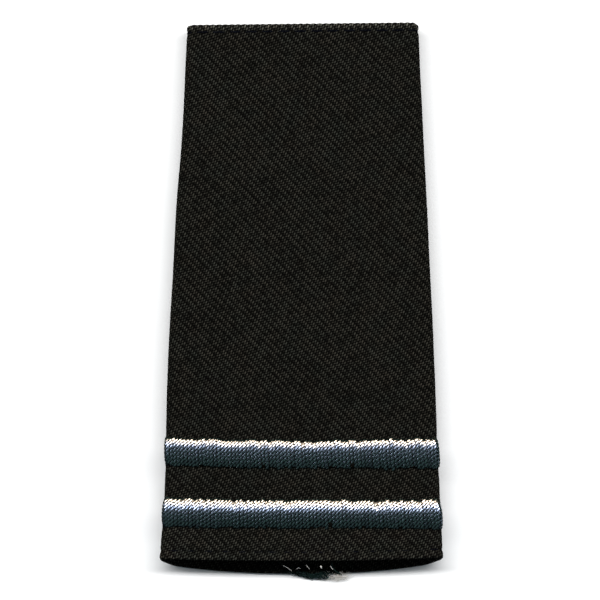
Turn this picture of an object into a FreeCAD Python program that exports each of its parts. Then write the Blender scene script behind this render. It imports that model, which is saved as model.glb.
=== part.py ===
import FreeCAD, Part
import math
import os
from collections import namedtuple

import Sketcher

# A slip-on shoulder board, lying on its back.
# +Y runs from the wide open mouth to the narrow end, +X is to the right, seen from the face with
# the narrow end up, and +Z is up, out of the face.
# The origin is under the middle of the board, on the surface that it lies on.
# All lengths are millimetres.

# Driving dimensions: each name is also the alias of its cell in the sheet.
SIZES = {
    # the cloth sleeve
    "wall": 1.0,
    "board_height": 6.6,
    "crown": 0.4,
    "fold_radius": 1.3,
    "sink": 0.05,
    # the narrow end, which rises a little to the right
    "far_left_edge": 54.95,
    "far_right_edge": 55.5,
    "far_left_reach": 23.1,
    "far_right_reach": 23.55,
    "far_corner": 0.8,
    # the mouth, whose back wall reaches further than its front wall
    "front_edge": 52.8,
    "front_depth": 1.4,
    "lip_edge": 55.5,
    "lip_corner": 54.9,
    "lip_reach": 24.0,
    "lip_height": 1.0,
    "margin": 6.0,
    # the two rank bars
    "bar_half": 2.8,
    "bar_gap": 0.06,
    "bar_edge": 0.12,
    "bar_rise": 0.98,
    "bar_side": 0.2,
    "bar_taper": 0.14,
    "bar_end": 2.9,
}

# Cross sections of the sleeve: how far along the board each one is, and how far its side folds
# reach to the left and the right of the middle line.
Station = namedtuple("Station", "name along left right")
STATIONS = (
    Station("far", 56.5, 22.94, 23.44),
    Station("upper", 31.2, 24.22, 24.69),
    Station("middle", 1.2, 26.27, 26.25),
    Station("upper_bar", -31.45, 27.32, 27.54),
    Station("lower_bar", -43.55, 27.89, 28.17),
    Station("mouth", -56.7, 28.90, 28.82),
)

# Where the sections of a bar lie across its width, from its upper edge (1) to its lower edge (-1).
BAR_PLACES = (1.0, 0.88, 0.5, 0.0, -0.5, -0.88, -1.0)

ORIGIN_POINT = (-1, 1)

doc = FreeCAD.newDocument("shoulder_board")


def build_sheet():
    """The sheet of driving dimensions, one named cell each."""
    sheet = doc.addObject("Spreadsheet::Sheet", "sizes")
    cells = dict(SIZES)
    for station in STATIONS:
        cells[f"{station.name}_along"] = station.along
        cells[f"{station.name}_left"] = station.left
        cells[f"{station.name}_right"] = station.right
    for row, (alias, value) in enumerate(cells.items(), start=1):
        sheet.set(f"A{row}", alias)
        sheet.set(f"B{row}", str(value))
        sheet.setAlias(f"B{row}", alias)
    doc.recompute()
    return cells


CELLS = build_sheet()

# A length is a tuple of (cell, share) terms, so that the number and the expression agree.


def total(terms):
    """The length that the terms add up to."""
    return sum(CELLS[alias] * share for alias, share in terms)


def formula(terms):
    """The same length as an expression on the sheet."""
    return " + ".join(f"sizes.{alias} * ({share})" for alias, share in terms)


def minus(terms):
    """The same length, the other way."""
    return tuple((alias, -share) for alias, share in terms)


def new_body(name):
    body = doc.addObject("PartDesign::Body", name)
    body.Label = name
    return body


def new_sketch(body, name, role, offset=()):
    """A sketch on one of the body's own origin planes, moved along the plane's normal."""
    sketch = body.newObject("Sketcher::SketchObject", name)
    plane = next(item for item in body.Origin.OriginFeatures if item.Role == role)
    sketch.AttachmentSupport = [(plane, "")]
    sketch.MapMode = "FlatFace"
    if offset:
        sketch.setExpression("AttachmentOffset.Base.z", formula(offset))
    return sketch


def measure(sketch, name, parts, terms):
    """A named dimension of the sketch, bound to the sheet."""
    number = sketch.addConstraint(Sketcher.Constraint(*parts, total(terms)))
    sketch.renameConstraint(number, name)
    sketch.setExpression(f"Constraints.{name}", formula(terms))


def place_point(sketch, name, point, across, up):
    """Holds a point at a distance from the sketch's origin, measured towards its own side."""
    for kind, terms in (("DistanceX", across), ("DistanceY", up)):
        ends = (ORIGIN_POINT, point)
        if total(terms) < 0:
            ends = (point, ORIGIN_POINT)
            terms = minus(terms)
        measure(sketch, f"{name}_{kind}", (kind, *ends[0], *ends[1]), terms)


def vector(across, up):
    return FreeCAD.Vector(across, up, 0)


def arc(centre, radius, start, end):
    circle = Part.Circle(centre, FreeCAD.Vector(0, 0, 1), radius)
    return Part.ArcOfCircle(circle, start, end)


def section_sketch(body, name, along, left, right, grow=(), lift=()):
    """One cross section: a flat back, wide side curves, tight upper folds and a crowned face.

    grow moves the outline outwards at the back and the sides, lift raises the face.
    """
    sketch = new_sketch(body, name, "XZ_Plane", minus(along))
    reach_left = left + grow
    reach_right = right + grow
    base = minus((("sink", 1),) + grow)
    side = (("board_height", 1), ("crown", -1), ("fold_radius", -1), ("sink", 1)) + grow
    fold = (("fold_radius", 1),) + lift

    low = total(base)
    widest = low + total(side)
    reach_l = total(reach_left)
    reach_r = total(reach_right)
    side_r = total(side)
    fold_r = total(fold)
    crown = total((("crown", 1),))
    middle = (reach_r - reach_l) / 2
    span = (reach_r + reach_l) / 2 - fold_r
    rise = fold_r + crown
    crown_r = (span**2 + rise**2 - fold_r**2) / (2 * crown)
    turn = math.atan2(crown_r - rise, span)

    sketch.addGeometry(
        [
            Part.LineSegment(vector(side_r - reach_l, low), vector(reach_r - side_r, low)),
            arc(vector(reach_r - side_r, widest), side_r, -math.pi / 2, 0),
            arc(vector(reach_r - fold_r, widest), fold_r, 0, turn),
            arc(vector(middle, widest + rise - crown_r), crown_r, turn, math.pi - turn),
            arc(vector(fold_r - reach_l, widest), fold_r, math.pi - turn, math.pi),
            arc(vector(side_r - reach_l, widest), side_r, math.pi, 3 * math.pi / 2),
        ],
        False,
    )
    back, right_side, right_fold, face, left_fold, left_side = range(6)
    for one, other in (
        ((back, 2), (right_side, 1)),
        ((right_side, 2), (right_fold, 1)),
        ((right_fold, 2), (face, 1)),
        ((face, 2), (left_fold, 1)),
        ((left_fold, 2), (left_side, 1)),
        ((left_side, 2), (back, 1)),
    ):
        sketch.addConstraint(Sketcher.Constraint("Tangent", *one, *other))
    sketch.addConstraint(
        [
            Sketcher.Constraint("Horizontal", back),
            Sketcher.Constraint("Horizontal", right_side, 3, right_side, 2),
            Sketcher.Constraint("Horizontal", left_side, 3, left_side, 1),
            Sketcher.Constraint("Equal", right_side, left_side),
            Sketcher.Constraint("Equal", right_fold, left_fold),
        ]
    )
    measure(sketch, "depth", ("DistanceY", back, 1, *ORIGIN_POINT), minus(base))
    measure(sketch, "left_reach", ("DistanceX", left_side, 1, *ORIGIN_POINT), reach_left)
    measure(sketch, "right_reach", ("DistanceX", *ORIGIN_POINT, right_side, 2), reach_right)
    measure(sketch, "side_radius", ("Radius", right_side), side)
    measure(sketch, "fold_radius", ("Radius", right_fold), fold)
    number = sketch.addConstraint(Sketcher.Constraint("Radius", face, crown_r))
    sketch.renameConstraint(number, "face_radius")
    half = f"(({formula(reach_left + reach_right)}) / 2 - ({formula(fold)}))"
    up = f"({formula(fold)} + sizes.crown)"
    sketch.setExpression(
        "Constraints.face_radius",
        f"({half} * {half} + {up} * {up} - ({formula(fold)}) * ({formula(fold)})) / (2 * sizes.crown)",
    )
    return sketch


def loft(body, kind, sections):
    feature = body.newObject(f"PartDesign::{kind}", kind)
    feature.Profile = (sections[0], [""])
    feature.Sections = [(sketch, [""]) for sketch in sections[1:]]
    feature.Ruled = False
    doc.recompute()
    return feature


def outline_sketch(body, name, role, points):
    """A closed, straight-sided outline through the points, each held at its own place."""
    sketch = new_sketch(body, name, role)
    places = [vector(total(across), total(up)) for across, up in points]
    count = len(places)
    sketch.addGeometry(
        [Part.LineSegment(places[side], places[(side + 1) % count]) for side in range(count)],
        False,
    )
    for side in range(count):
        following = (side + 1) % count
        sketch.addConstraint(Sketcher.Constraint("Coincident", side, 2, following, 1))
    for side, (across, up) in enumerate(points):
        place_point(sketch, f"point_{side}", (side, 1), across, up)
    return sketch


def outline_cut(body, name, role, points, both_ways=True):
    """Cuts an outline out of the body, and makes sure that it took something away."""
    before = body.Tip.Shape.Volume
    pocket_outline = outline_sketch(body, f"{name}_outline", role, points)
    pocket = body.newObject("PartDesign::Pocket", name)
    pocket.Profile = (pocket_outline, [""])
    pocket.Type = "ThroughAll"
    pocket.SideType = "Symmetric" if both_ways else "One side"
    doc.recompute()
    if not pocket.Shape.Volume < before:
        raise RuntimeError(f"{name} took nothing away")


def cloth_sleeve():
    """The tube of cloth: a wall lofted along the board, flat at the back, open at both ends."""
    body = new_body("cloth_sleeve")

    def skin(label, grow, lift):
        return [
            section_sketch(
                body,
                f"{label}_{station.name}",
                ((f"{station.name}_along", 1),),
                ((f"{station.name}_left", 1),),
                ((f"{station.name}_right", 1),),
                grow,
                lift,
            )
            for station in STATIONS
        ]

    loft(body, "AdditiveLoft", skin("outside", (), ()))
    inwards = (("wall", -1),)
    loft(body, "SubtractiveLoft", skin("inside", inwards, inwards))

    wide = (("mouth_right", 1), ("margin", 1))
    beyond = (("lip_edge", 1), ("margin", 1))

    # the back is flat where it lies on the table
    outline_cut(
        body,
        "flat_back",
        "XY_Plane",
        (
            (minus(wide), minus(beyond)),
            (wide, minus(beyond)),
            (wide, beyond),
            (minus(wide), beyond),
        ),
        both_ways=False,
    )

    # the mouth, seen from the side: the front wall ends first, and the folds run back to the lip
    front = (("front_edge", -1),)
    lip = (("lip_edge", -1),)
    over = (("board_height", 1), ("margin", 1))
    outline_cut(
        body,
        "mouth_slope",
        "YZ_Plane",
        (
            (front, over),
            (minus(beyond), over),
            (minus(beyond), (("margin", -1),)),
            (lip, (("margin", -1),)),
            (lip, (("lip_height", 1),)),
            (front, (("board_height", 1), ("front_depth", -1))),
        ),
    )

    # the lip, seen from above: straight, with its ends drawn back to the folds
    corner = (("lip_corner", -1),)
    reach = (("lip_reach", 1),)
    outline_cut(
        body,
        "lip_line",
        "XY_Plane",
        (
            (minus(wide), minus(beyond)),
            (wide, minus(beyond)),
            (wide, corner),
            (reach, corner),
            ((("lip_reach", 0.5),), lip),
            ((("lip_reach", -0.5),), lip),
            (minus(reach), corner),
            (minus(wide), corner),
        ),
    )

    # the narrow end, seen from above: a slanting edge with small turned corners
    left = (("far_left_reach", -1),)
    right = (("far_right_reach", 1),)
    far_left = (("far_left_edge", 1),)
    far_right = (("far_right_edge", 1),)
    drop = (("far_corner", -1),)
    outline_cut(
        body,
        "narrow_end",
        "XY_Plane",
        (
            (minus(wide), beyond),
            (minus(wide), far_left + drop),
            (left, far_left + drop),
            (left + (("far_corner", 1),), far_left),
            (right + drop, far_right),
            (right, far_right + drop),
            (wide, far_right + drop),
            (wide, beyond),
        ),
    )
    return body


def rank_bar(name):
    """A padded bar of satin stitches: a dome across its width, thin where it turns the folds."""
    body = new_body(name)

    def side_reach(side, place):
        return ((f"{name}_{side}", 1), ("bar_taper", -place))

    def sections(label, places, swell):
        sketches = []
        for number, place in enumerate(places):
            share = swell(place)
            grow = (("bar_gap", 1),)
            lift = (("bar_gap", 1),)
            if share is not None:
                grow += (("bar_edge", 1), ("bar_side", share))
                lift += (("bar_edge", 1), ("bar_rise", share))
            sketches.append(
                section_sketch(
                    body,
                    f"{label}_{number}",
                    ((f"{name}_along", 1), ("bar_half", place)),
                    side_reach("left", place),
                    side_reach("right", place),
                    grow,
                    lift,
                )
            )
        return sketches

    def dome(place):
        return round(math.sqrt(1 - place**2), 3)

    def bare(place):
        return None

    loft(body, "AdditiveLoft", sections("outside", BAR_PLACES, dome))
    # the space of the board itself, a little longer than the bar so that it cuts clean through
    loft(body, "SubtractiveLoft", sections("inside", (1.2, 0.0, -1.2), bare))

    # the bar ends part of the way down the side curves, clear of the table
    half = (("bar_half", 2),)
    low = (("margin", -1),)
    top = (("bar_end", 1),)
    along = ((f"{name}_along", 1),)
    outline_cut(
        body,
        "bar_ends",
        "YZ_Plane",
        (
            (along + half, low),
            (along + half, top),
            (along + minus(half), top),
            (along + minus(half), low),
        ),
    )
    return body


def check(bodies):
    """Stops if anything failed to build."""
    for item in doc.Objects:
        if "Invalid" in item.State or "Error" in item.State:
            raise RuntimeError(f"{item.Name} is {item.State}")
    for body in bodies:
        if body.Shape.isNull() or not body.Shape.isValid() or len(body.Shape.Solids) != 1:
            raise RuntimeError(f"{body.Label} is not one good solid")


def main():
    bodies = [cloth_sleeve(), rank_bar("upper_bar"), rank_bar("lower_bar")]
    doc.recompute()
    check(bodies)
    os.makedirs("parts", exist_ok=True)
    for body in bodies:
        body.Shape.exportStep(f"parts/{body.Label}.step")
        box = body.Shape.optimalBoundingBox(False, False)
        print(
            f"{body.Label}: {body.Shape.Volume:.1f} mm3,"
            f" X {box.XMin:.2f} to {box.XMax:.2f},"
            f" Y {box.YMin:.2f} to {box.YMax:.2f},"
            f" Z {box.ZMin:.2f} to {box.ZMax:.2f}"
        )


main()
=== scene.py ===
import math
from collections import namedtuple

import bpy
import numpy as np
from mathutils import Matrix, Vector, noise


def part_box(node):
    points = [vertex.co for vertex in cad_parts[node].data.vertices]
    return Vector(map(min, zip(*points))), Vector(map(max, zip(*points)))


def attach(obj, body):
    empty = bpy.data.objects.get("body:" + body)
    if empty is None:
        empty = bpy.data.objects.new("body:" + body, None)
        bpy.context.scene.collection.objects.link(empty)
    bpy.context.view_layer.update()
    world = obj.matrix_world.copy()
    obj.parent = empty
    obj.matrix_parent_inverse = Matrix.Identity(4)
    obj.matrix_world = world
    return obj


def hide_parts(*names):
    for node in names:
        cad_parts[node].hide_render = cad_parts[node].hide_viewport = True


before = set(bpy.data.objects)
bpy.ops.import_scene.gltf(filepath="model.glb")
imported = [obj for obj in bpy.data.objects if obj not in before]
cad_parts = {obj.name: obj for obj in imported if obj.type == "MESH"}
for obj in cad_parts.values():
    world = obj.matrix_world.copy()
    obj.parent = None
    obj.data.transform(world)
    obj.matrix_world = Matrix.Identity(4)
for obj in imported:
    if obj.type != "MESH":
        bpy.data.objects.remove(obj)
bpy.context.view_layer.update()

bl_info = {
    "name": "Slip-on shoulder board",
    "version": (1, 0, 0),
    "blender": (4, 5, 0),
    "location": "3D View > Sidebar > Shoulder board",
    "description": "Dresses a slip-on shoulder board in twill, satin-stitched bars and stitching",
    "category": "Object",
}

# All lengths are metres. The board lies on its back: +Y runs from its mouth to its narrow end.
MM = 0.001

# How the side folds run, seen from above: places along the board, and the distances of the left and
# the right fold from its middle line.
OUTLINE = (
    (58.0, 22.72, 23.50),
    (52.0, 23.10, 23.90),
    (42.0, 23.55, 24.35),
    (30.0, 24.22, 24.94),
    (18.0, 25.20, 25.55),
    (5.7, 25.88, 26.10),
    (-6.4, 26.60, 26.69),
    (-18.5, 27.08, 27.17),
    (-25.5, 27.25, 27.43),
    (-31.5, 27.25, 27.56),
    (-37.5, 27.48, 28.00),
    (-43.5, 27.70, 28.22),
    (-49.0, 28.26, 28.60),
    (-53.0, 28.58, 28.82),
    (-58.0, 28.85, 29.05),
)

# The board's cross section: a flat back, wide side curves, tight pressed folds and a crowned face.
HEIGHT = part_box("cloth_sleeve")[1].z
CROWN = 0.4 * MM
FOLD_RADIUS = 1.3 * MM
SIDE_RADIUS = HEIGHT - CROWN - FOLD_RADIUS

# The ends of the board, seen from above: the narrow end with its corners and its rope-like edge, then
# the mouth, whose front edge is bowed and whose lip reaches further and rises towards the folds.
FAR_EDGE = 55.02 * MM
FAR_SLANT = 0.011
CORNER_LEFT = 23.0 * MM
CORNER_RIGHT = 23.5 * MM
CORNER_LENGTH = 1.0 * MM
CORNER_DROP = 0.3 * MM
ROPE_PITCH = 1.27 * MM
ROPE_DEPTH = 0.05 * MM
FRONT_EDGE = -52.62 * MM
FRONT_BOW_LEFT = 0.27 * MM
FRONT_BOW_RIGHT = 0.45 * MM
LIP_EDGE = -55.48 * MM
LIP_RISE_LEFT = 1.35 * MM
LIP_RISE_RIGHT = 1.6 * MM
LIP_REACH = 24.0 * MM
LIP_CURVE = 2.4
RIM_TOP = HEIGHT - 0.8 * MM
RIM_BOTTOM = 0.3 * MM

# The back's seam, and the spacing of the cloth's threads.
SEAM_X = 2.4 * MM
RIB_SPACING = 0.395 * MM

# The two bars: where their middle is, how much their ends rise above it, half their width, and how
# much of their height is a low arch over the whole width, and its power on the side of the narrow end.
Bar = namedtuple("Bar", "node along left_rise right_rise half_left half_middle half_right arch power")
BARS = (
    Bar("upper_bar", -31.52, 0.60, 0.18, 2.84, 2.86, 3.03, 0.46, 2.3),
    Bar("lower_bar", -43.56, 0.32, -0.08, 2.98, 2.82, 2.98, 0.626, 1.8),
)

# How far out a bar's ends lie, and the powers of the arch on the mouth's side and of the edges.
BAR_REACH = 27 * MM
MOUTH_SIDE_POWER = 2.7
EDGE_POWER = 40

# Where the bars end at the sides, and how high they stand over the face and over the sides.
BAR_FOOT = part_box("upper_bar")[0].z
BAR_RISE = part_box("upper_bar")[1].z - HEIGHT
BAR_SIDE = 0.46 * MM


def smooth(share):
    """A share from 0 to 1, eased at both ends."""
    share = np.clip(share, 0, 1)
    return share * share * (3 - 2 * share)


def bump(distance, width):
    """A bell of height 1 and the given half width."""
    return np.exp(-((distance / width) ** 2))


def through(places, values, at):
    """A smooth curve through the values, read at other places."""
    places = np.asarray(places, float)
    values = np.asarray(values, float)
    slopes = np.gradient(values, places)
    at = np.clip(at, places[0], places[-1])
    after = np.clip(np.searchsorted(places, at), 1, len(places) - 1)
    before = after - 1
    gap = places[after] - places[before]
    share = (at - places[before]) / gap
    rest = 1 - share
    return (
        values[before] * (1 + 2 * share) * rest**2
        + values[after] * share**2 * (1 + 2 * rest)
        + slopes[before] * gap * share * rest**2
        - slopes[after] * gap * share**2 * rest
    )


def reaches(along):
    """The distances of the left and the right fold from the middle line, at places along the board."""
    places, left, right = (np.array(values) * MM for values in zip(*sorted(OUTLINE)))
    return through(places, left, along), through(places, right, along)


FACE, FOLD, SIDE, BACK = range(4)
Contour = namedtuple("Contour", "x z out_x out_z around")


def contour(along, side, region, share):
    """The board's outer surface: arrays of places along it, and a place in its cross section.

    side is 1 for the right half and -1 for the left, region is one of FACE, FOLD, SIDE and BACK,
    and share runs from 0 to 1 through the region, from the middle of the face to the back's seam.
    around is the distance along the cloth from the middle of the face.
    """
    left, right = reaches(along)
    middle = (right - left) / 2
    half = (right + left) / 2
    on_face, on_fold, on_side, on_back = (region == place for place in (FACE, FOLD, SIDE, BACK))
    span = half - FOLD_RADIUS
    rise = FOLD_RADIUS + CROWN
    crown_radius = (span**2 + rise**2 - FOLD_RADIUS**2) / (2 * CROWN)
    turn = np.arctan2(crown_radius - rise, span)
    face_angle = math.pi / 2 - share * (math.pi / 2 - turn)
    fold_angle = turn * (1 - share)
    side_angle = -share * math.pi / 2
    angle = np.select([on_face, on_fold, on_side], [face_angle, fold_angle, side_angle], -math.pi / 2)
    radius = np.select([on_face, on_fold], [crown_radius, FOLD_RADIUS], SIDE_RADIUS)
    centre_x = np.select([on_face, on_fold], [0.0, span], half - SIDE_RADIUS)
    centre_z = np.where(on_face, HEIGHT - crown_radius, SIDE_RADIUS)
    seam = half - SIDE_RADIUS + side * (middle - SEAM_X)
    inwards = np.where(on_back, share * seam, 0)
    x = middle + side * (centre_x + radius * np.cos(angle) - inwards)
    z = centre_z + radius * np.sin(angle)
    face_length = crown_radius * (math.pi / 2 - turn)
    fold_length = FOLD_RADIUS * turn
    fold_end = face_length + fold_length
    side_length = SIDE_RADIUS * math.pi / 2
    around = np.select(
        [on_face, on_fold, on_side],
        [face_length * share, face_length + fold_length * share, fold_end + side_length * share],
        fold_end + side_length + share * seam,
    )
    return Contour(x, z, side * np.cos(angle), np.sin(angle), side * around)


def mesh_piece(name, points, faces, material):
    """A new smooth mesh object at the origin, with one material."""
    mesh = bpy.data.meshes.new(name)
    mesh.from_pydata(points, [], faces)
    mesh.materials.append(material)
    mesh.shade_smooth()
    piece = bpy.data.objects.new(name, mesh)
    bpy.context.scene.collection.objects.link(piece)
    return piece


def write_places(piece, name, places):
    """Stores a coordinate for each point of the piece, for its material to read.

    A fourth value, where there is one, goes into an attribute of its own.
    """
    places = np.asarray(places, np.float32)
    places = places.reshape(-1, places.shape[-1])
    attribute = piece.data.attributes.new(name, "FLOAT_VECTOR", "POINT")
    attribute.data.foreach_set("vector", places[:, :3].ravel())
    if places.shape[1] > 3:
        attribute = piece.data.attributes.new(name + "_upper", "FLOAT", "POINT")
        attribute.data.foreach_set("value", places[:, 3].ravel())
    corners = np.zeros(len(piece.data.loops), int)
    piece.data.loops.foreach_get("vertex_index", corners)
    flat = piece.data.uv_layers.new(name=name + "_flat")
    flat.uv.foreach_set("vector", places[corners, :2].ravel())


def select_only(piece):
    """Makes the piece the only selected one, and the active one."""
    bpy.ops.object.select_all(action="DESELECT")
    piece.select_set(True)
    bpy.context.view_layer.objects.active = piece


def face_outwards(piece):
    """Turns the faces of a closed piece outwards."""
    select_only(piece)
    bpy.ops.object.mode_set(mode="EDIT")
    bpy.ops.mesh.select_all(action="SELECT")
    bpy.ops.mesh.normals_make_consistent(inside=False)
    bpy.ops.object.mode_set(mode="OBJECT")


def unit(vectors):
    """The same directions, at length 1."""
    return vectors / np.linalg.norm(vectors, axis=-1, keepdims=True)


def tube_faces(tubes, rings, sides):
    """The faces of closed tubes whose points are numbered tube by tube and ring by ring."""
    start = np.arange(tubes)[:, None, None] * rings * sides
    ring = np.arange(rings - 1)[None, :, None] * sides
    side = np.arange(sides)[None, None, :]
    here = start + ring + side
    beside = start + ring + (side + 1) % sides
    quads = np.stack([here, beside, beside + sides, here + sides], axis=-1).reshape(-1, 4)
    caps = start[:, 0] + np.arange(sides)[::-1]
    ends = start[:, 0] + (rings - 1) * sides + np.arange(sides)
    return quads.tolist() + caps.tolist() + ends.tolist()


def plied(centre, side, swing, lift, width, height, turn_length, phase, plies=2, sides=8):
    """Threads of twisted plies along centre lines.

    centre and side are arrays of (threads, points, 3), and side points across each thread, in its
    bed. Each ply swings to and fro across its thread by swing and rises and falls by lift, once for
    every turn_length, and its section is an oval of the given half width and half height. The result
    is (threads x plies, points, sides, 3), with four values for each point: the length along the
    thread, the place round the ply, a number of the ply's own and 1 where the ply lies uppermost.
    """
    along = unit(np.gradient(centre, axis=1))
    top = unit(np.cross(side, along))
    across = np.cross(along, top)
    steps = np.linalg.norm(np.diff(centre, axis=1), axis=-1)
    length = np.concatenate([np.zeros((len(centre), 1)), np.cumsum(steps, axis=1)], axis=1)
    turned = phase[:, None] - 2 * math.pi * length / turn_length
    place = 2 * math.pi * np.arange(sides) / sides
    rings = []
    places = []
    for ply in range(plies):
        angle = (turned + 2 * math.pi * ply / plies)[..., None]
        line = centre + swing * np.cos(angle) * across + lift * np.sin(angle) * top
        heading = unit(np.gradient(line, axis=1))
        out = unit(np.cross(side, heading))
        beside = np.cross(heading, out)
        ring = line[:, :, None] + width * np.cos(place)[:, None] * beside[:, :, None]
        rings.append(ring + height * np.sin(place)[:, None] * out[:, :, None])
        number = 0.618 * (np.arange(len(centre))[:, None, None] * plies + ply)
        upper = 0.5 + 0.5 * np.sin(angle)
        coordinate = np.broadcast_arrays(length[:, :, None] / MM, place / (2 * math.pi), number, upper)
        places.append(np.stack(coordinate, axis=-1))
    return np.concatenate(rings), np.concatenate(places)


def thread_piece(name, rings, places, material):
    """A mesh of the threads that plied gives."""
    piece = mesh_piece(name, rings.reshape(-1, 3), tube_faces(*rings.shape[:3]), material)
    write_places(piece, "strand", places)
    return piece


# Shader nodes


class Tree:
    """Adds nodes to a shader tree. An input is a number, a tuple or another node's output."""

    def __init__(self, tree):
        self.tree = tree

    def node(self, kind, inputs=(), **settings):
        node = self.tree.nodes.new(kind)
        for name, value in settings.items():
            setattr(node, name, value)
        for name, value in dict(inputs).items():
            self.put(node.inputs[name], value)
        return node

    def put(self, socket, value):
        if isinstance(value, bpy.types.NodeSocket):
            self.tree.links.new(value, socket)
        else:
            socket.default_value = value

    def math(self, operation, *values, clamp=False):
        node = self.tree.nodes.new("ShaderNodeMath")
        node.operation = operation
        node.use_clamp = clamp
        for socket, value in zip(node.inputs, values):
            self.put(socket, value)
        return node.outputs[0]

    def plus(self, one, other):
        return self.math("ADD", one, other)

    def minus(self, one, other):
        return self.math("SUBTRACT", one, other)

    def times(self, one, other, clamp=False):
        return self.math("MULTIPLY", one, other, clamp=clamp)

    def mix(self, share, one, other):
        """one where share is 0, other where it is 1."""
        return self.plus(one, self.times(share, self.minus(other, one)))

    def blend(self, share, one, other):
        """A mix of two colours. The numbers are those of the node's colour sockets."""
        node = self.tree.nodes.new("ShaderNodeMix")
        node.data_type = "RGBA"
        self.put(node.inputs[0], share)
        self.put(node.inputs[6], one)
        self.put(node.inputs[7], other)
        return node.outputs[2]

    def relief(self, height, strength, distance):
        """The normal of a surface with raised and sunk places."""
        given = {"Height": height, "Strength": strength, "Distance": distance}
        return self.node("ShaderNodeBump", given).outputs["Normal"]


def new_group(name, inputs, outputs):
    """An empty shader group, in which Place is a vector and every other socket a number."""
    group = bpy.data.node_groups.new(name, "ShaderNodeTree")
    for sockets, way in ((inputs, "INPUT"), (outputs, "OUTPUT")):
        for socket in sockets:
            kind = "NodeSocketVector" if socket == "Place" else "NodeSocketFloat"
            group.interface.new_socket(socket, in_out=way, socket_type=kind)
    tree = Tree(group)
    return group, tree, tree.node("NodeGroupInput").outputs, tree.node("NodeGroupOutput").inputs


def twill_group():
    """The height and the tone of a two-up, two-down twill, from the cloth's own coordinates; the tone is
    painted light on the floats' tops and painted shade in the gaps.
    """
    group, tree, given, result = new_group(
        "twill_weave", ("Place", "Spacing", "Unevenness"), ("Height", "Tone")
    )
    wander = tree.node("ShaderNodeTexNoise", {"Vector": given["Place"], "Scale": 0.35, "Detail": 2.0})
    shift = tree.node(
        "ShaderNodeVectorMath", {0: wander.outputs["Color"], 1: (0.5, 0.5, 0.5)}, operation="SUBTRACT"
    )
    scaled = {0: shift.outputs[0], "Scale": given["Unevenness"]}
    shift = tree.node("ShaderNodeVectorMath", scaled, operation="SCALE")
    place = tree.node("ShaderNodeVectorMath", {0: given["Place"], 1: shift.outputs[0]}, operation="ADD")
    split = tree.node("ShaderNodeSeparateXYZ", {0: place.outputs[0]})
    column = tree.math("DIVIDE", split.outputs["X"], given["Spacing"])
    row = tree.math("DIVIDE", split.outputs["Y"], given["Spacing"])
    column_number = tree.math("FLOOR", column)
    row_number = tree.math("FLOOR", row)
    in_column = tree.minus(column, column_number)
    in_row = tree.minus(row, row_number)
    diagonal = tree.plus(column_number, row_number)
    step = tree.math("FLOORED_MODULO", diagonal, 4.0)
    warp = tree.math("LESS_THAN", step, 1.5)

    # how far along its float, and how far across its thread, each point lies
    over = tree.minus(step, tree.times(2.0, tree.minus(1.0, warp)))
    along = tree.times(tree.plus(over, tree.mix(warp, in_column, in_row)), 0.5)
    lean = tree.times(tree.minus(along, 0.5), 0.8)
    across = tree.minus(tree.minus(tree.mix(warp, in_row, in_column), 0.5), lean)
    round_top = tree.math("COSINE", tree.times(across, math.pi))
    round_top = tree.math("POWER", tree.math("MAXIMUM", round_top, 0.0), 1.2)
    arch = tree.math("SINE", tree.times(along, math.pi))
    arch = tree.math("POWER", tree.math("MAXIMUM", arch, 0.0), 1.7)
    height = tree.times(round_top, tree.mix(arch, 0.25, 1.0))

    # each float has its own tone
    band = tree.math("FLOOR", tree.math("DIVIDE", diagonal, 4.0))
    thread = tree.mix(warp, tree.plus(row_number, 1000.0), column_number)
    key = tree.node("ShaderNodeCombineXYZ", {"X": band, "Y": thread})
    chance = tree.node("ShaderNodeTexWhiteNoise", {"Vector": key.outputs[0]})
    own = tree.mix(chance.outputs["Value"], 0.35, 1.65)
    # Painted light and shade: lighter on each float's raised top, darker towards its ends and sides and in
    # the gaps.
    tone = tree.times(tree.math("POWER", height, 2.0), own)
    tone = tree.times(tone, tree.mix(warp, 0.85, 1.0))

    # the ribs that the floats make together, with a line of painted shade between each two
    rib = tree.times(tree.plus(column, row), math.pi / 2)
    rib = tree.plus(0.5, tree.times(0.5, tree.math("SINE", rib)))
    tone = tree.times(tone, tree.mix(tree.math("POWER", rib, 0.7), 0.2, 1.6))
    tree.put(result["Height"], height)
    tree.put(result["Tone"], tone)
    return group


def strand_group():
    """Fine filaments that run along a strand, from its own coordinates."""
    group, tree, given, result = new_group("strand_filaments", ("Place", "Filaments"), ("Height", "Own"))
    split = tree.node("ShaderNodeSeparateXYZ", {0: given["Place"]})
    around = tree.times(split.outputs["Y"], given["Filaments"])
    slow = tree.times(split.outputs["X"], 0.8)
    place = tree.node("ShaderNodeCombineXYZ", {"X": slow, "Y": around, "Z": split.outputs["Z"]})
    lines = tree.node("ShaderNodeTexNoise", {"Vector": place.outputs[0], "Scale": 1.0, "Detail": 1.0})
    number = tree.node("ShaderNodeCombineXYZ", {"Z": split.outputs["Z"]})
    chance = tree.node("ShaderNodeTexWhiteNoise", {"Vector": number.outputs[0]})
    tree.put(result["Height"], lines.outputs["Fac"])
    tree.put(result["Own"], chance.outputs["Value"])
    return group


def new_material(name, **surface):
    """A material with a Principled shader, whose plain values are set on its own sockets."""
    material = bpy.data.materials.new(name)
    material.use_nodes = True
    tree = Tree(material.node_tree)
    shader = material.node_tree.nodes["Principled BSDF"]
    for socket, value in surface.items():
        shader.inputs[socket.replace("_", " ")].default_value = value
    return material, tree, shader


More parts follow.
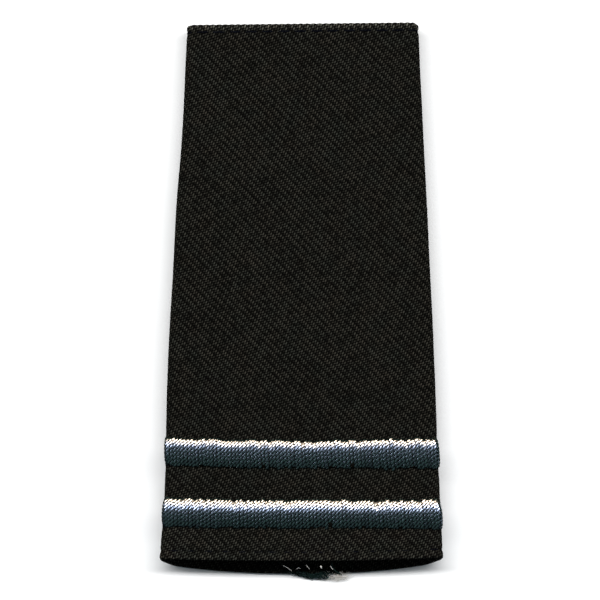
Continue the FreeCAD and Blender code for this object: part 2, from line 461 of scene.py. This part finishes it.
def cloth_material(settings):
    """Black twill: painted light on the floats' tops and painted shade in the gaps between them, with
    painted shade and light along the ends.
    """
    material, tree, shader = new_material("black_twill", Roughness=0.9, Specular_IOR_Level=0.013)
    place = tree.node("ShaderNodeAttribute", attribute_name="cloth").outputs["Vector"]
    painted_light_and_shade = tree.node("ShaderNodeSeparateXYZ", {0: place}).outputs["Z"]
    place = tree.node("ShaderNodeVectorMath", {0: place, 1: (1, 1, 0)}, operation="MULTIPLY").outputs[0]
    given = {"Place": place, "Spacing": settings.thread_spacing / MM, "Unevenness": 0.12}
    weave = tree.node("ShaderNodeGroup", given, node_tree=twill_group())
    clouds = tree.node("ShaderNodeTexNoise", {"Vector": place, "Scale": 0.09, "Detail": 3.0})
    hue = tree.node("ShaderNodeTexNoise", {"Vector": place, "Scale": 0.22, "Detail": 2.0})
    cast = tree.times(tree.minus(hue.outputs["Fac"], 0.30), 2.5, clamp=True)
    light = tree.blend(cast, settings.cool_thread, settings.warm_thread)
    # The weave's painted light and shade, varied by slow random clouds.
    clouded_tone_and_shade = tree.times(weave.outputs["Tone"], tree.mix(clouds.outputs["Fac"], 0.75, 1.25))
    # Painted light and shade: darker in the grooves, lighter on the rope edge and near the mouth.
    lit = tree.minus(1.0, tree.times(painted_light_and_shade, 0.75))
    colour = tree.blend(clouded_tone_and_shade, settings.gap_shade_colour, light)
    colour = tree.node("ShaderNodeVectorMath", {0: colour}, operation="SCALE")
    tree.put(colour.inputs["Scale"], tree.math("MAXIMUM", lit, 0.05))
    tree.put(shader.inputs["Base Color"], colour.outputs[0])
    tree.put(shader.inputs["Normal"], tree.relief(weave.outputs["Height"], 0.6, 0.1 * MM))
    return material


# The threads' shine, cool along them and warm at the tips of the bars' threads, how many filaments go
# round a ply, the share of the shine that the painted shade keeps on a ply's sides and covered stretches,
# and the millimetres of thread over which the tips' shine turns into the other.
COOL_SHEEN = (0.60, 0.71, 1, 1)
WARM_SHEEN = (1, 0.83, 0.65, 1)
FILAMENTS = 9.0
SHADED_SHINE = 0.16
TIP_LENGTHS = (1.0, 2.2)


def satin_material(name, dark, light, shine=1.0, tips=None):
    """Glossy thread: fine filaments along each ply, every ply a little lighter or darker.

    The sides of a ply, and the stretches where it passes under another, carry painted shade: they are
    darker and shine less.
    tips is the colour of the shine at the start of each thread, if it has one of its own.
    """
    material, tree, shader = new_material(
        name, Roughness=0.22, IOR=2.75, Specular_IOR_Level=shine, Anisotropic=0.5, Anisotropic_Rotation=0.25
    )
    tangent = tree.node("ShaderNodeTangent", direction_type="UV_MAP", uv_map="strand_flat")
    tree.put(shader.inputs["Tangent"], tangent.outputs[0])
    place = tree.node("ShaderNodeAttribute", attribute_name="strand").outputs["Vector"]
    split = tree.node("ShaderNodeSeparateXYZ", {0: place}).outputs
    upper = tree.node("ShaderNodeAttribute", attribute_name="strand_upper").outputs["Fac"]
    # Painted shade: the ply's sides and the stretches where it passes under another are darkened and lose
    # shine.
    outer = tree.math("COSINE", tree.times(tree.minus(split["Y"], 0.25), 2 * math.pi))
    outer = tree.math("POWER", tree.math("MAXIMUM", outer, 0.0), 2.0)
    uncovered = tree.times(tree.minus(upper, 0.25), 2.2, clamp=True)
    top = tree.times(outer, uncovered)
    given = {"Place": place, "Filaments": FILAMENTS}
    filament = tree.node("ShaderNodeGroup", given, node_tree=bpy.data.node_groups["strand_filaments"])
    share = tree.mix(0.6, filament.outputs["Own"], filament.outputs["Height"])
    tree.put(shader.inputs["Base Color"], tree.blend(tree.times(share, top), dark, light))
    tree.put(shader.inputs["Specular IOR Level"], tree.mix(top, SHADED_SHINE * shine, shine))
    shader.inputs["Specular Tint"].default_value = COOL_SHEEN
    if tips:
        start, end = TIP_LENGTHS
        inner = tree.node("ShaderNodeMapRange", {"Value": split["X"], "From Min": start, "From Max": end})
        tree.put(shader.inputs["Specular Tint"], tree.blend(inner.outputs[0], tips, COOL_SHEEN))
    tree.put(shader.inputs["Normal"], tree.relief(filament.outputs["Height"], 0.5, 0.004 * MM))
    return material


# Settings, each a length, the power of a light or a colour


def distance(name, description, size):
    return bpy.props.FloatProperty(name=name, description=description, default=size, subtype="DISTANCE")


def power(name, description, watts):
    return bpy.props.FloatProperty(name=name, description=description, default=watts, unit="POWER")


def colour(name, description, *rgb):
    return bpy.props.FloatVectorProperty(
        name=name, description=description, default=(*rgb, 1), size=4, subtype="COLOR"
    )


class ClothSettings(bpy.types.PropertyGroup):
    """The sleeve's cloth."""

    thread_spacing: distance("Thread spacing", "Distance between two threads of the weave", RIB_SPACING)
    thickness: distance("Thickness", "Thickness of one layer of cloth", 0.42 * MM)
    hem: distance("Hem", "Depth of the hem that is turned in at each end", 9.0 * MM)
    # The colour of the painted shade in the gaps between the threads.
    gap_shade_colour: colour("Gaps", "Colour between the threads", 0.0010, 0.0009, 0.0008)
    warm_thread: colour("Warm thread", "Colour of the warmer threads", 0.0410, 0.0370, 0.0290)
    cool_thread: colour("Cool thread", "Colour of the cooler threads", 0.0345, 0.0365, 0.0300)


class BarSettings(bpy.types.PropertyGroup):
    """The satin-stitched bars."""

    spacing: distance("Thread spacing", "Distance between two threads of the satin stitch", 0.735 * MM)
    turn_length: distance("Twist", "Length of thread for one whole turn of its plies", 1.56 * MM)
    dark: colour("Dark filaments", "Darker colour of the thread", 0.0003, 0.0008, 0.0008)
    light: colour("Light filaments", "Lighter colour of the thread", 0.0315, 0.0745, 0.0620)


class StitchSettings(bpy.types.PropertyGroup):
    """The topstitching of both ends, and the loose ends of thread."""

    pitch: distance("Stitch", "Length of one stitch with its gap", 3.3 * MM)
    far_inset: distance("Narrow end inset", "Distance of the stitches from the narrow end", 1.05 * MM)
    mouth_inset: distance("Mouth inset", "Distance of the stitches from the mouth's edge", 1.3 * MM)
    dark: colour("Dark filaments", "Darker colour of the thread", 0.0014, 0.0015, 0.0026)
    light: colour("Light filaments", "Lighter colour of the thread", 0.0072, 0.0075, 0.0118)
    pale_shade: colour("Pale shade", "Darker colour of the pale loose threads", 0.60, 0.56, 0.50)
    pale: colour("Pale thread", "Lighter colour of the pale loose threads", 0.90, 0.90, 0.92)


class StageSettings(bpy.types.PropertyGroup):
    """The floor, the lights and the camera."""

    view_width: distance("View width", "Width of what the camera sees, at the board's face", 121.2 * MM)
    key_power: power("Key light", "Power of the long key light beyond the narrow end", 30.8)
    key_angle: bpy.props.FloatProperty(
        name="Key angle",
        description="Angle of the key light from straight above",
        default=math.radians(25.5),
        subtype="ANGLE",
    )
    side_power: power("Side lights", "Power of each soft light beside the board", 1.1)
    front_power: power("Front light", "Power of the soft light in front of the mouth", 1.5)
    room: bpy.props.FloatProperty(
        name="Room", description="Strength of the light from all round", default=0.03
    )


# The cloth sleeve


def mirrored(half):
    """Regions and shares of the right half, from the face's middle on, for the left half as well."""
    left = [(-1, region, share) for region, share in reversed(half[1:])]
    right = [(1, region, share) for region, share in half]
    return [np.array(values) for values in zip(*(left + right))]


def columns():
    """The columns of the cloth's grid, from the back's seam all round to the seam again."""
    half = []
    for region, count in ((FACE, 84), (FOLD, 8), (SIDE, 10), (BACK, 12)):
        half += [(region, number / count) for number in range(count)]
    return mirrored(half + [(BACK, 1.0)])


def far_end(x):
    """The narrow end's edge, which rises a little to the right and turns at its corners."""
    reach = np.where(x < 0, CORNER_LEFT, CORNER_RIGHT)
    corner = np.clip((np.abs(x) - reach + CORNER_LENGTH) / CORNER_LENGTH, 0, 1)
    rope = ROPE_DEPTH * np.cos(2 * math.pi * x / ROPE_PITCH)
    return FAR_EDGE + FAR_SLANT * x + rope - CORNER_DROP * corner**2


def near_end(x, z):
    """The mouth's edge: bowed at the front, running back round the folds to the lip."""
    bow = np.where(x < 0, FRONT_BOW_LEFT, FRONT_BOW_RIGHT)
    front = FRONT_EDGE + bow * (x / LIP_REACH) ** 2
    rise = np.where(x < 0, LIP_RISE_LEFT, LIP_RISE_RIGHT)
    lip = LIP_EDGE + rise * np.clip(np.abs(x) / LIP_REACH, 0, 1.15) ** LIP_CURVE
    share = np.clip((RIM_TOP - z) / (RIM_TOP - RIM_BOTTOM), 0, 1)
    return front + (lip - front) * share


def bar_line(bar, x):
    """Where the middle of a bar runs, and half its width there."""
    share = x / BAR_REACH
    rise = np.where(x < 0, bar.left_rise, bar.right_rise) * MM * share**2
    edge = np.where(x < 0, bar.half_left, bar.half_right)
    half = (bar.half_middle + (edge - bar.half_middle) * share**2) * MM
    return bar.along * MM + rise, half


# How many rows of the cloth's grid lie in each hem and in each fold at the ends.
HEM_STEPS = 5
FOLD_STEPS = 6
Row = namedtuple("Row", "end turn depth share")


def cloth_rows():
    """The rows of the cloth's grid, from the narrow end's hem to the mouth's.

    end is 1 or -1 in the turned edges, turn is how far the cloth has turned in, depth is a share of the
    hem, and share one of the length between the ends.
    """
    dense = 0.035
    far_part = np.linspace(0, dense, 15)
    middle_part = np.linspace(dense, 1 - dense, 160)[1:-1]
    mouth_part = np.linspace(1 - dense, 1, 15)
    rows = [Row(1, math.pi, 1 - step / HEM_STEPS, 0) for step in range(HEM_STEPS)]
    rows += [Row(1, math.pi * (1 - step / FOLD_STEPS), 0, 0) for step in range(FOLD_STEPS)]
    rows += [Row(0, 0, 0, share) for share in (*far_part, *middle_part, *mouth_part)]
    rows += [Row(-1, math.pi * step / FOLD_STEPS, 0, 1) for step in range(1, FOLD_STEPS + 1)]
    rows += [Row(-1, math.pi, step / HEM_STEPS, 1) for step in range(1, HEM_STEPS + 1)]
    return [np.array(values)[:, None] for values in zip(*rows)]


def cloth_relief(place, along, region, far, near, stitches):
    """How far the cloth is drawn in, and the light and shade painted on it: above 0 a painted shade in a
    groove, below 0 painted light on a ridge.

    The stitches pull grooves, the narrow end stands up like a rope beside them, and the mouth puckers.
    """
    around = place.around
    from_far = far - along
    from_near = along - near
    pulled = 0.85 + 0.15 * np.cos(2 * math.pi * around / stitches.pitch)
    far_groove = bump(from_far - stitches.far_inset, 0.46 * MM) * pulled
    turns = np.cos(2 * math.pi * (place.x + 0.5 * from_far) / ROPE_PITCH)
    rope = (0.65 + 0.35 * turns) * bump(from_far, 0.66 * MM)
    scallop = 0.5 + 0.5 * np.cos(2 * math.pi * around / (3.7 * MM))
    near_groove = (0.5 + 0.5 * scallop) * bump(from_near - stitches.mouth_inset, 0.32 * MM)
    near_ridge = bump(from_near, 0.4 * MM)
    relief = MM * (0.17 * far_groove - 0.14 * rope + 0.18 * near_groove - 0.05 * near_ridge)
    relief += 0.07 * MM * (scallop - 0.5) * bump(from_near - 2.3 * MM, 1.3 * MM)
    # Painted shade in the stitch grooves, and painted light on the rope edge, on the mouth's ridge and on
    # the cloth near the mouth.
    painted_light_and_shade = 0.2 * far_groove - 3.0 * rope + 0.4 * near_groove - 0.35 * near_ridge
    painted_light_and_shade -= 0.3 * bump(from_near, 5 * MM)
    on_face = (region == FACE) | (region == FOLD)
    for bar in BARS:
        middle, half = bar_line(bar, place.x)
        beside = np.abs(along - middle) - half
        relief += np.where(on_face, 0.10 * MM * smooth(1 - beside / (0.9 * MM)), 0)
    ribs = np.sin(2 * math.pi * (around + along) / (4 * RIB_SPACING))
    relief += np.where(region == FOLD, 0.045, 0.0) * MM * ribs
    return relief, painted_light_and_shade


class ClothSleeve(bpy.types.Operator):
    """Makes the tube of twill: one sheet with turned hems, folded flat and joined at the back"""

    bl_idname = "shoulder_board.cloth_sleeve"
    bl_label = "Cloth sleeve"

    def execute(self, context):
        settings = context.scene.board_cloth
        stitches = context.scene.board_stitches
        side, region, share = columns()
        end, turn, depth, length = cloth_rows()
        side, region, share, _ = np.broadcast_arrays(side, region, share, length)

        # the ends of each column depend on where it lies, which depends a little on the ends
        along = np.zeros(side.shape)
        for _ in range(3):
            place = contour(along, side, region, share)
            far = far_end(place.x)
            near = near_end(place.x, place.z)
            along = far + (near - far) * length
        fold = settings.thickness / 2 + 0.04 * MM
        reach = fold * np.sin(turn) - settings.hem * depth
        along = along + end * reach
        place = contour(along, side, region, share)
        inset = settings.thickness / 2 + fold * (1 - np.cos(turn))
        relief, painted_light_and_shade = cloth_relief(place, along, region, far, near, stitches)
        inset = inset + np.where(end == 0, 1, np.cos(turn / 2)) * relief
        waves = self.waves(place.around, along)
        inset += np.where(region == BACK, np.abs(waves) * 0.6, waves)
        inset += self.seam(region, share)

        points = np.stack([place.x - place.out_x * inset, along, place.z - place.out_z * inset], axis=-1)
        grain = along + end * (fold * turn - reach + settings.hem * depth)
        # The third value is the painted light and shade, set to 0 where the cloth has turned far in.
        cloth = np.stack([place.around / MM, grain / MM, np.where(turn < 2, painted_light_and_shade, 0)], axis=-1)
        twill = cloth_material(settings)
        piece = mesh_piece("cloth_tube", points.reshape(-1, 3), self.quads(*side.shape), twill)
        write_places(piece, "cloth", cloth)
        self.thicken(piece, settings.thickness)
        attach(piece, "root")
        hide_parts("cloth_sleeve")
        return {"FINISHED"}

    @staticmethod
    def waves(around, along):
        """The slow unevenness of pressed cloth."""
        values = [
            noise.noise(Vector((u * 60, v * 45, 0.3))) + 0.5 * noise.noise(Vector((u * 190, v * 150, 4.1)))
            for u, v in zip(around.ravel(), along.ravel())
        ]
        return 0.09 * MM * np.array(values).reshape(around.shape)

    @staticmethod
    def seam(region, share):
        """The two edges of the cloth roll in where they meet at the back."""
        return 0.5 * MM * np.where(region == BACK, smooth((share - 0.96) / 0.04), 0)

    @staticmethod
    def quads(rows, count):
        """The faces of the grid, seen from outside."""
        here = (np.arange(rows - 1)[:, None] * count + np.arange(count - 1)).ravel()
        return np.stack([here, here + count, here + count + 1, here + 1], axis=-1).tolist()

    @staticmethod
    def thicken(piece, thickness):
        """Gives the sheet its thickness, half of it to each side."""
        wall = piece.modifiers.new("wall", "SOLIDIFY")
        wall.thickness = thickness
        wall.offset = 0
        wall.use_rim = True
        select_only(piece)
        bpy.ops.object.modifier_apply(modifier="wall")


# The satin-stitched bars

# How much lower than the solid bar the threads and the padding arch, and how deep they are set.
THREAD_DROP = 0.18 * MM
THREAD_BED = 0.12 * MM
CORE_DROP = 0.36 * MM
CORE_BED = 0.05 * MM


def bar_rise(out_x, out_z):
    """How high a bar stands over the cloth: full on the face, thin at the sides, square at the folds."""
    beside = np.abs(out_x) / (FOLD_RADIUS + BAR_SIDE)
    above = np.clip(out_z, 0, 1) / (FOLD_RADIUS + BAR_RISE - 0.02 * MM)
    return (beside**12 + above**12) ** (-1 / 12) - FOLD_RADIUS


def bar_path(bar, spacing):
    """Fine columns along a bar, and the one before each evenly spaced thread, with the rest of the step."""
    foot_share = math.asin((SIDE_RADIUS - BAR_FOOT) / SIDE_RADIUS) / (math.pi / 2)
    half = [(FACE, share) for share in np.linspace(0, 1, 120)]
    half += [(FOLD, share) for share in np.linspace(0, 1, 30)[1:]]
    half += [(SIDE, share) for share in np.linspace(0, foot_share, 20)[1:]]
    side, region, share = mirrored(half)
    place = contour(np.full(len(side), bar.along * MM), side, region, share)
    rise = bar_rise(place.out_x, place.out_z)
    steps = np.hypot(np.diff(place.x + place.out_x * rise), np.diff(place.z + place.out_z * rise))
    length = np.concatenate([[0], np.cumsum(steps)])
    wanted = np.linspace(0, length[-1], round(length[-1] / spacing))
    number = np.interp(wanted, length, np.arange(len(side)))
    low = np.clip(np.floor(number).astype(int), 0, len(side) - 2)
    rest = number - low
    return side, region, share, place.x, low, rest


def bar_surface(bar, spacing, across):
    """Points on the cloth under a bar, with the way out of it, for each thread and place across.

    across is an array of places over the bar's width, from 1 at its upper edge to -1.
    """
    side, region, share, x, low, rest = bar_path(bar, spacing)
    middle, half = bar_line(bar, x)
    found = []
    for number in (low, low + 1):
        along = middle[number, None] + half[number, None] * across
        pick = (side[number, None], region[number, None], share[number, None])
        place = contour(along, *np.broadcast_arrays(*pick, along)[:3])
        found.append(np.stack([place.x, along, place.z, place.out_x, place.out_z], axis=-1))
    weight = rest[:, None, None]
    mixed = found[0] * (1 - weight) + found[1] * weight
    point = mixed[..., :3]
    out = unit(np.stack([mixed[..., 3], 0 * mixed[..., 3], mixed[..., 4]], axis=-1))
    return point, out


class RankBars(bpy.types.Operator):
    """Makes both bars: a padded core under a row of twisted satin threads, turned round the folds"""

    bl_idname = "shoulder_board.rank_bars"
    bl_label = "Rank bars"

    def execute(self, context):
        settings = context.scene.board_bars
        satin = satin_material("slate_satin", settings.dark, settings.light, tips=WARM_SHEEN)
        for number, bar in enumerate(BARS):
            chance = np.random.default_rng(40 + number)
            piece = self.threads(bar, settings, satin, chance)
            self.add_core(piece, bar)
            face_outwards(piece)
            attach(piece, "root")
            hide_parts(bar.node)
        return {"FINISHED"}

    @staticmethod
    def dome(bar, across):
        """A bar's profile: threads that dive at its edges over a low arch of padding."""
        edge = (1 - bar.arch) * np.sqrt(1 - np.abs(across) ** EDGE_POWER)
        power = np.where(across > 0, bar.power, MOUTH_SIDE_POWER)
        return edge + bar.arch * (1 - np.abs(across) ** power)

    def threads(self, bar, settings, satin, chance):
        """One mesh of threads that cross the bar side by side."""
        across = np.cos(np.linspace(0, math.pi, 46))
        point, out = bar_surface(bar, settings.spacing, across)
        count = len(point)
        rise = bar_rise(out[..., 0], out[..., 2])[..., None]
        loose = 1 + 0.05 * chance.standard_normal((count, 1, 1))
        lift = (rise - THREAD_DROP) * self.dome(bar, across)[:, None] * loose - THREAD_BED
        centre = point + out * lift
        side_step = -unit(np.gradient(centre, axis=0) * np.array([1.0, 0.0, 1.0]))
        ragged = 0.14 * MM * chance.standard_normal((count, 2))
        ends = ragged[:, :1] * smooth(across) + ragged[:, 1:] * smooth(-across)
        centre[..., 1] += ends
        jitter = 0.02 * MM * chance.standard_normal((count, 1, 1))
        centre += side_step * (jitter + 0.16 * MM * across[:, None])
        number = np.arange(count)
        start = chance.uniform(0, 2 * math.pi, 3)
        phase = 1.8 * np.sin(number / 7 + start[0]) + 1.2 * np.sin(number / 3 + start[1])
        phase += 0.12 * chance.standard_normal(count)
        section = {"swing": 0.22 * MM, "lift": 0.014 * MM, "width": 0.21 * MM, "height": 0.026 * MM}
        twist = plied(centre, side_step, turn_length=settings.turn_length, phase=phase, **section)
        return thread_piece(bar.node + "_threads", *twist, satin)

    def add_core(self, piece, bar):
        """Adds the padding under the threads, a low dome of their material, wholly in its painted shade."""
        across = np.cos(np.linspace(0, math.pi, 15))
        point, out = bar_surface(bar, 0.6 * MM, 0.93 * across)
        rise = (bar_rise(out[..., 0], out[..., 2])[..., None] - CORE_DROP).clip(0.04 * MM)
        top = point + out * (rise * self.dome(bar, across)[:, None] - CORE_BED)
        bottom = point - out * 0.1 * MM
        ring = np.concatenate([top, bottom[:, ::-1]], axis=1)
        faces = tube_faces(1, len(ring), ring.shape[1])
        core = mesh_piece("core", ring.reshape(-1, 3), faces, piece.data.materials[0])
        # Zero coordinates put the padding wholly in the material's painted shade: its dark colour and low
        # shine.
        write_places(core, "strand", np.zeros((len(core.data.vertices), 4)))
        select_only(piece)
        core.select_set(True)
        bpy.ops.object.join()


# Stitching


class Stitching(bpy.types.Operator):
    """Sews a row of stitches round the hem of each end"""

    bl_idname = "shoulder_board.stitching"
    bl_label = "Stitching"

    def execute(self, context):
        settings = context.scene.board_stitches
        thread = satin_material("black_thread", settings.dark, settings.light, shine=0.03)
        for name, inset, is_far in (
            ("stitches_narrow_end", settings.far_inset, True),
            ("stitches_mouth", settings.mouth_inset, False),
        ):
            piece = self.row(name, inset, is_far, settings, thread)
            face_outwards(piece)
            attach(piece, "root")
        return {"FINISHED"}

    @staticmethod
    def row(name, inset, is_far, settings, thread):
        """One row of stitches round an end, which lie in the groove that they draw in the cloth."""
        side, region, share = columns()
        along = np.full(len(side), (FAR_EDGE if is_far else FRONT_EDGE))
        for _ in range(3):
            place = contour(along, side, region, share)
            along = far_end(place.x) - inset if is_far else near_end(place.x, place.z) + inset
        place = contour(along, side, region, share)
        girth = np.ptp(place.around)
        count = int(girth / settings.pitch)
        start = place.around[0] + 0.5 * (girth - count * settings.pitch)
        points = 14
        reach = np.linspace(0.06, 0.84, points) * settings.pitch
        arch = np.sin(np.linspace(0, math.pi, points)) ** 0.5
        drawn = (0.12 if is_far else 0.22) * MM
        lift = -drawn + 0.02 * MM + 0.20 * MM * (arch - 1)
        centre = np.zeros((count, points, 3))
        for number in range(count):
            at = start + number * settings.pitch + reach
            rows = (place.x, along, place.z, place.out_x, place.out_z)
            x, y, z, out_x, out_z = (np.interp(at, place.around, row) for row in rows)
            out = unit(np.stack([out_x, 0 * at, out_z], axis=-1))
            centre[number] = np.stack([x, y, z], axis=-1) + out * lift[:, None]
        sideways = np.broadcast_to([0.0, 1.0, 0.0], centre.shape)
        section = {"swing": 0.13 * MM, "lift": 0.065 * MM, "width": 0.14 * MM, "height": 0.085 * MM}
        twist = plied(centre, sideways, turn_length=0.9 * MM, phase=np.arange(count) * 1.3, **section)
        return thread_piece(name, *twist, thread)


# Loose thread ends at the mouth

# Each strand's way in millimetres, the radius of its plies, and whether it is pale.
Strand = namedtuple("Strand", "way radius pale")
STRANDS = (
    Strand(((-3.6, -54.10, 4.1), (-2.7, -54.60, 3.3), (-1.9, -55.25, 2.4)), 0.034, True),
    Strand(((1.0, -54.05, 4.2), (1.4, -54.35, 3.8), (1.7, -54.85, 3.1)), 0.036, True),
    Strand(((-0.9, -54.85, 3.0), (-0.5, -54.60, 3.4), (-0.1, -54.70, 3.2)), 0.024, True),
    Strand(((4.0, -54.15, 4.0), (4.1, -54.35, 4.4), (4.2, -54.60, 3.9)), 0.085, True),
    Strand(((6.0, -54.15, 4.1), (6.2, -54.60, 3.7), (6.5, -54.95, 3.2)), 0.042, True),
    Strand(((6.2, -53.4, 3.4), (6.6, -54.8, 2.6), (7.4, -55.6, 1.6), (8.5, -56.3, 0.6)), 0.11, False),
    Strand(((-5.2, -53.0, 4.2), (-4.4, -53.5, 4.4), (-3.8, -53.8, 4.3)), 0.03, False),
)
# Clumps of fuzz: the middle of each clump, how far it reaches, the half length of its fibres, how far
# they turn from the lip's direction, their radius, how many there are, and whether they are pale.
Clump = namedtuple("Clump", "x y reach_x reach_y length turn radius count pale")
CLUMPS = (
    Clump(-0.5, -55.50, 2.6, 0.35, 1.4, 0.20, 0.042, 110, False),
    Clump(2.6, -55.90, 2.8, 0.70, 1.6, 0.22, 0.046, 400, False),
    Clump(5.6, -55.80, 1.8, 0.55, 0.9, 0.6, 0.032, 120, False),
    Clump(7.0, -56.35, 2.4, 0.8, 1.2, 0.7, 0.018, 170, True),
)


class LooseThreads(bpy.types.Operator):
    """Leaves a tuft of loose thread ends hanging out of the mouth"""

    bl_idname = "shoulder_board.loose_threads"
    bl_label = "Loose threads"

    def execute(self, context):
        settings = context.scene.board_stitches
        bars = context.scene.board_bars
        chance = np.random.default_rng(7)
        for pale, name, colours, shine in (
            (False, "loose_threads_dark", (bars.dark, bars.light), 0.04),
            (True, "loose_threads_pale", (settings.pale_shade, settings.pale), 0.3),
        ):
            material = satin_material(name, *colours, shine=shine)
            threads = []
            for strand in STRANDS:
                if strand.pale == pale:
                    threads.append(self.twist(self.path(strand.way, 40)[None], strand.radius * MM, 2))
            for clump in CLUMPS:
                if clump.pale == pale:
                    threads.append(self.twist(self.fuzz(clump, chance), clump.radius * MM, 1))
            piece = self.join(name, threads, material)
            face_outwards(piece)
            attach(piece, "root")
        return {"FINISHED"}

    @staticmethod
    def path(way, count):
        """A smooth curve through the places of a way."""
        way = np.array(way) * MM
        number = np.arange(len(way))
        at = np.linspace(0, len(way) - 1, count)
        return np.stack([through(number, way[:, axis], at) for axis in range(3)], axis=-1)

    @staticmethod
    def fuzz(clump, chance):
        """Short curly fibres that lie round the middle of a clump."""
        count, points = clump.count, 16
        share = np.linspace(-1, 1, points)
        heading = -0.12 + clump.turn * chance.uniform(-1, 1, (count, 1))
        length = clump.length * chance.uniform(0.4, 1.2, (count, 1)) * MM
        curl = chance.uniform(0.06, 0.3, (count, 1)) * MM
        turns = chance.uniform(1.0, 3.0, (count, 1))
        start = chance.uniform(0, 2 * math.pi, (count, 1))
        spread = 0.45 * chance.standard_normal((2, count, 1))
        x = (clump.x + clump.reach_x * np.clip(spread[0], -1, 1)) * MM
        y = (clump.y + clump.reach_y * np.clip(spread[1], -1, 1)) * MM
        x = x + length * share * np.cos(heading) + curl * np.cos(start + turns * math.pi * share)
        y = y + length * share * np.sin(heading) + curl * np.sin(start + turns * math.pi * share)
        wave = 1 + np.cos(2 * start + turns * share * 4)
        z = chance.uniform(0.1, 1.0, (count, 1)) * MM + 0.5 * curl * wave
        return np.stack([x, y, z], axis=-1)

    @staticmethod
    def twist(centre, radius, plies):
        """Threads along the centre lines, of one ply or of two twisted ones."""
        side = np.cross(np.gradient(centre, axis=1), np.array([0.1, 0.2, 1.0]))
        swing = 0.0 if plies == 1 else 0.9 * radius
        phase = np.arange(len(centre)) * 1.7
        return plied(centre, side, swing, swing, radius, radius, 12 * radius, phase, plies, sides=6)

    @staticmethod
    def join(name, threads, material):
        """One mesh of all the threads."""
        faces = []
        start = 0
        for rings, _ in threads:
            faces += [[start + corner for corner in face] for face in tube_faces(*rings.shape[:3])]
            start += rings[..., 0].size
        points = np.concatenate([rings.reshape(-1, 3) for rings, _ in threads])
        piece = mesh_piece(name, points, faces, material)
        write_places(piece, "strand", np.concatenate([places.reshape(-1, 4) for _, places in threads]))
        return piece


# The stage


class Stage(bpy.types.Operator):
    """Sets the pale floor, the soft lights and the camera straight above the board"""

    bl_idname = "shoulder_board.stage"
    bl_label = "Stage"

    def execute(self, context):
        settings = context.scene.board_stage
        self.floor()
        self.lights(context.scene, settings)
        self.camera(context.scene, settings)
        context.scene.view_settings.view_transform = "Standard"
        return {"FINISHED"}

    @staticmethod
    def floor():
        """A matt white sheet under the board."""
        bpy.ops.object.select_all(action="DESELECT")
        bpy.ops.mesh.primitive_plane_add(size=3, location=(0, 0, 0))
        floor = bpy.context.active_object
        floor.name = "floor"
        floor.data.transform(floor.matrix_world)
        material, _, shader = new_material("pale_floor", Roughness=0.9, Specular_IOR_Level=0.2)
        shader.inputs["Base Color"].default_value = (0.9, 0.9, 0.9, 1)
        floor.data.materials.append(material)
        floor.visible_glossy = False

    @staticmethod
    def lights(scene, settings):
        """Four soft lights, 1 m away, of which only the key shows in gloss, and a dim room."""
        low = math.radians(66)
        white, warm, cool = (1, 1, 1), (1, 0.97, 0.9), (0.5, 0.78, 1)
        for name, azimuth, angle, size, power, colour in (
            ("key_light", 0.0, settings.key_angle, (3.2, 0.18), settings.key_power, white),
            ("left_light", 90.0, low, (0.7, 0.4), settings.side_power, warm),
            ("right_light", -90.0, low, (0.7, 0.4), settings.side_power, warm),
            ("front_light", 180.0, low, (1.2, 0.6), settings.front_power, cool),
        ):
            turn = Matrix.Rotation(math.radians(azimuth), 4, "Z") @ Matrix.Rotation(-angle, 4, "X")
            place = turn @ Vector((0, 0, 1))
            bpy.ops.object.light_add(type="AREA", location=place, rotation=turn.to_euler())
            light = bpy.context.active_object
            light.name = name
            light.data.shape = "RECTANGLE"
            light.data.size, light.data.size_y = size
            light.data.energy = power
            light.data.color = colour
            light.visible_glossy = name == "key_light"
        world = bpy.data.worlds.new("soft_room")
        world.use_nodes = True
        background = world.node_tree.nodes["Background"]
        background.inputs["Color"].default_value = (1, 1, 1, 1)
        background.inputs["Strength"].default_value = settings.room
        scene.world = world

    @staticmethod
    def camera(scene, settings):
        """A long lens straight above the board."""
        lens = 400
        sensor = 36
        distance = settings.view_width / (sensor / lens)
        picture_centre = (-0.17 * MM, -0.36 * MM)
        bpy.ops.object.camera_add(location=(*picture_centre, HEIGHT + distance))
        camera = bpy.context.active_object
        camera.name = "camera"
        camera.data.lens = lens
        camera.data.sensor_width = sensor
        camera.data.clip_end = 10
        scene.camera = camera


class BoardPanel(bpy.types.Panel):
    """The board's settings and pieces"""

    bl_idname = "VIEW3D_PT_shoulder_board"
    bl_label = "Shoulder board"
    bl_space_type = "VIEW_3D"
    bl_region_type = "UI"
    bl_category = "Shoulder board"

    def draw(self, context):
        layout = self.layout
        for title, settings in SETTINGS.items():
            layout.label(text=title.replace("_", " ").capitalize())
            group = getattr(context.scene, title)
            for name in settings.__annotations__:
                layout.prop(group, name)
        for operator in OPERATORS:
            layout.operator(operator.bl_idname)


SETTINGS = {
    "board_cloth": ClothSettings,
    "board_bars": BarSettings,
    "board_stitches": StitchSettings,
    "board_stage": StageSettings,
}
OPERATORS = (ClothSleeve, RankBars, Stitching, LooseThreads, Stage)


def register():
    for title, settings in SETTINGS.items():
        bpy.utils.register_class(settings)
        setattr(bpy.types.Scene, title, bpy.props.PointerProperty(type=settings))
    for operator in OPERATORS:
        bpy.utils.register_class(operator)
    bpy.utils.register_class(BoardPanel)


def unregister():
    bpy.utils.unregister_class(BoardPanel)
    for operator in reversed(OPERATORS):
        bpy.utils.unregister_class(operator)
    for title, settings in SETTINGS.items():
        delattr(bpy.types.Scene, title)
        bpy.utils.unregister_class(settings)


def main():
    """Builds the whole scene."""
    register()
    strand_group()
    bpy.ops.shoulder_board.cloth_sleeve()
    bpy.ops.shoulder_board.rank_bars()
    bpy.ops.shoulder_board.stitching()
    bpy.ops.shoulder_board.loose_threads()
    bpy.ops.shoulder_board.stage()


if __name__ == "__main__":
    main()
